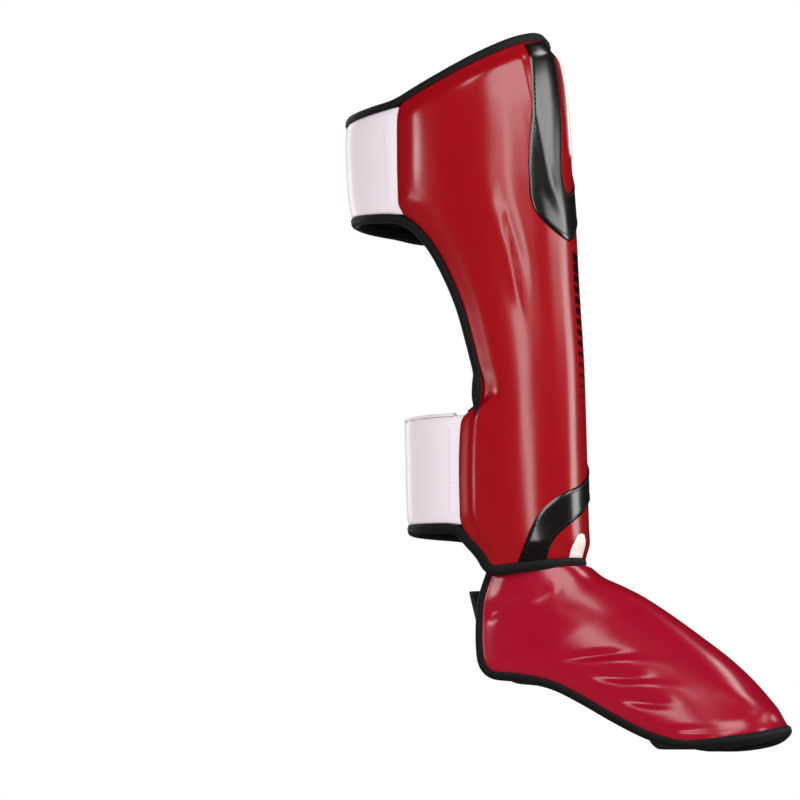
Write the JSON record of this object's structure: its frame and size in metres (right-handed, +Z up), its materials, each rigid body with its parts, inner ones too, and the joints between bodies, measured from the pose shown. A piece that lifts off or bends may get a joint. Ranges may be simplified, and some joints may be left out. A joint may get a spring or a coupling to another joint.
{
  "type": "muay thai shin guard",
  "caption": "Padded shin and instep guard with a slanted bound top, wrap-round calf and ankle straps, heel and sole elastics and gloss inlays.",
  "frame": {"origin": "on the leg's axis inside the hollow of the guard, half way up the shin", "axes": "+Z up the leg, +X the way the shin faces, +Y the side of the hook and loop closure"},
  "size_m": [0.2979, 0.1391, 0.4817],
  "materials": {
    "red_leather": "glossy crimson synthetic leather, coated and embossed with a fine grain",
    "black_gloss_leather": "glossy black synthetic leather inlays",
    "white_leather": "off-white synthetic leather with a soft sheen",
    "black_lining_cloth": "matt black brushed lining cloth",
    "black_binding_tape": "black edge binding tape, folded over the rim and stitched",
    "black_elastic": "woven black elastic webbing"
  },
  "bodies": {
    "root": {"shin_shell": "red_leather", "shin_lining": "black_lining_cloth", "ankle_binding": "black_binding_tape", "top_binding": "black_binding_tape", "rear_binding_sewn_side": "black_binding_tape", "rear_binding_closure_side": "black_binding_tape", "upper_band": "black_gloss_leather", "lower_band": "black_gloss_leather", "top_patch": "white_leather", "hem_patch": "white_leather", "upper_strap": "white_leather", "upper_strap_lining": "black_lining_cloth", "upper_strap_top_binding": "black_binding_tape", "upper_strap_bottom_binding": "black_binding_tape", "lower_strap": "white_leather", "lower_strap_lining": "black_lining_cloth", "lower_strap_top_binding": "black_binding_tape", "lower_strap_bottom_binding": "black_binding_tape", "foot_shell": "red_leather", "foot_lining": "black_lining_cloth", "foot_binding": "black_binding_tape", "heel_strap": "black_elastic", "sole_strap": "black_elastic"}
  },
  "joints": []
}
